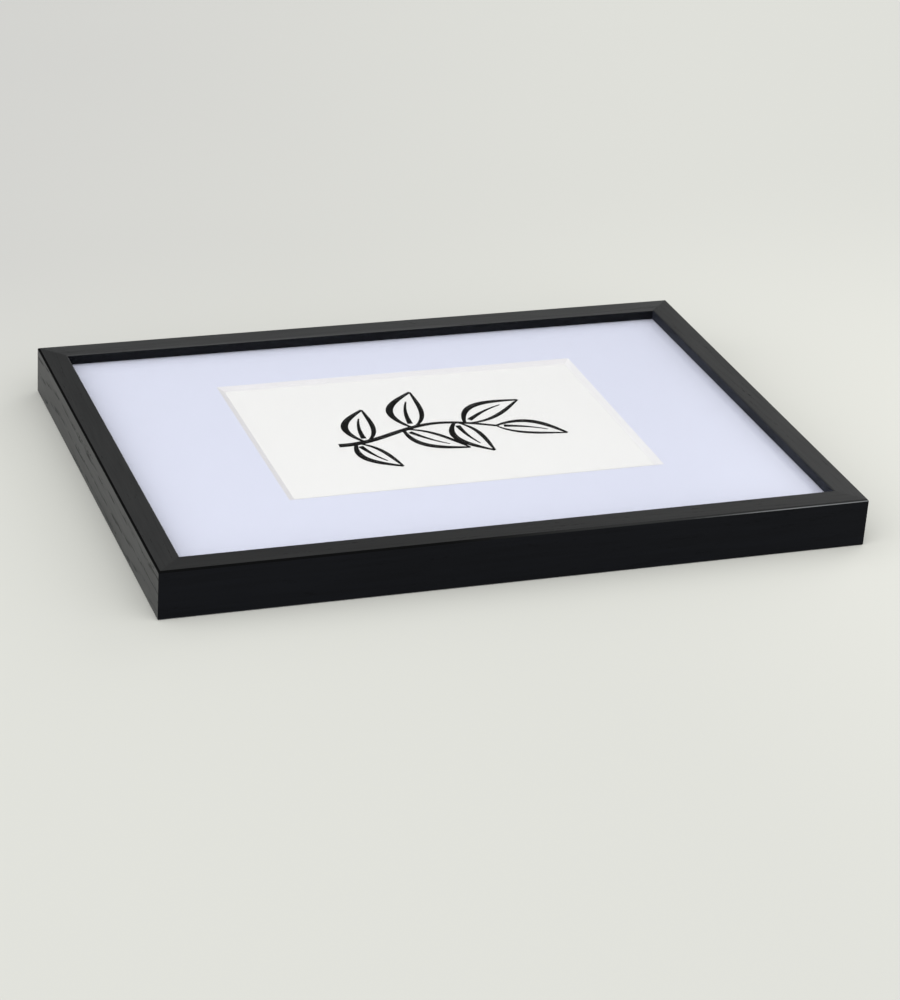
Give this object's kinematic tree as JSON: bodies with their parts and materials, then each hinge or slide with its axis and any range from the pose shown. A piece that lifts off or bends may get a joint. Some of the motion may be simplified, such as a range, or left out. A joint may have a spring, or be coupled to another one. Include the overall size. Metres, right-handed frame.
{
  "type": "picture frame",
  "caption": "Black-stained oak picture frame with glass, a mat with a window, an insert sheet and a back panel held by turn buttons; hangs from rings or lies flat.",
  "frame": {"origin": "middle of the frame's back, on the surface that it lies on, picture side up", "axes": "+X along the long rails, +Y from the near to the far long rail, +Z out of the picture"},
  "size_m": [0.313, 0.226, 0.022],
  "materials": {
    "stained_oak": "matt black stain, open pores",
    "clear_glass": "clear float glass",
    "mat": "smooth off-white board, pale bevelled cut",
    "paper": "smooth white card",
    "fibreboard": "bare brown fibreboard",
    "nail_steel": "bright strip",
    "button_steel": "zinc plated",
    "rivet_steel": "zinc plated",
    "hanger_steel": "zinc plated",
    "ring_wire": "bright nickel wire"
  },
  "bodies": {
    "frame": {"rail_near": "stained_oak", "rail_far": "stained_oak", "rail_left": "stained_oak", "rail_right": "stained_oak", "corner_nails": "nail_steel", "glass_pane": "clear_glass", "mat_board": "mat", "insert_sheet": "paper", "back_panel": "fibreboard", "button_rivets": "rivet_steel", "hanger_strap_portrait": "hanger_steel", "hanger_strap_landscape": "hanger_steel", "hanger_rivets": "rivet_steel"},
    "turn_button_near_left": {"turn_button_near_left": "button_steel"},
    "turn_button_near_right": {"turn_button_near_right": "button_steel"},
    "turn_button_far_left": {"turn_button_far_left": "button_steel"},
    "turn_button_far_right": {"turn_button_far_right": "button_steel"},
    "turn_button_left": {"turn_button_left": "button_steel"},
    "turn_button_right": {"turn_button_right": "button_steel"},
    "hanger_ring_portrait": {"hanger_ring_portrait": "ring_wire"},
    "hanger_ring_landscape": {"hanger_ring_landscape": "ring_wire"}
  },
  "joints": [
    {"name": "button_near_left_turn", "type": "hinge", "parent": "frame", "child": "turn_button_near_left", "pos_m": [-0.095, -0.096, 0.0101], "axis": [0, 0, 1], "continuous": true},
    {"name": "button_near_right_turn", "type": "hinge", "parent": "frame", "child": "turn_button_near_right", "pos_m": [0.095, -0.096, 0.0101], "axis": [0, 0, 1], "continuous": true},
    {"name": "button_far_left_turn", "type": "hinge", "parent": "frame", "child": "turn_button_far_left", "pos_m": [-0.095, 0.096, 0.0101], "axis": [0, 0, 1], "continuous": true},
    {"name": "button_far_right_turn", "type": "hinge", "parent": "frame", "child": "turn_button_far_right", "pos_m": [0.095, 0.096, 0.0101], "axis": [0, 0, 1], "continuous": true},
    {"name": "button_left_turn", "type": "hinge", "parent": "frame", "child": "turn_button_left", "pos_m": [-0.1395, 0, 0.0101], "axis": [0, 0, 1], "continuous": true},
    {"name": "button_right_turn", "type": "hinge", "parent": "frame", "child": "turn_button_right", "pos_m": [0.1395, 0, 0.0101], "axis": [0, 0, 1], "continuous": true},
    {"name": "ring_portrait_swing", "type": "hinge", "parent": "frame", "child": "hanger_ring_portrait", "pos_m": [-0.11265, 0, 0.00905], "axis": [0, 1, 0], "range_deg": [-80, 90]},
    {"name": "ring_landscape_swing", "type": "hinge", "parent": "frame", "child": "hanger_ring_landscape", "pos_m": [0, 0.06915, 0.00905], "axis": [1, 0, 0], "range_deg": [-80, 90]}
  ]
}
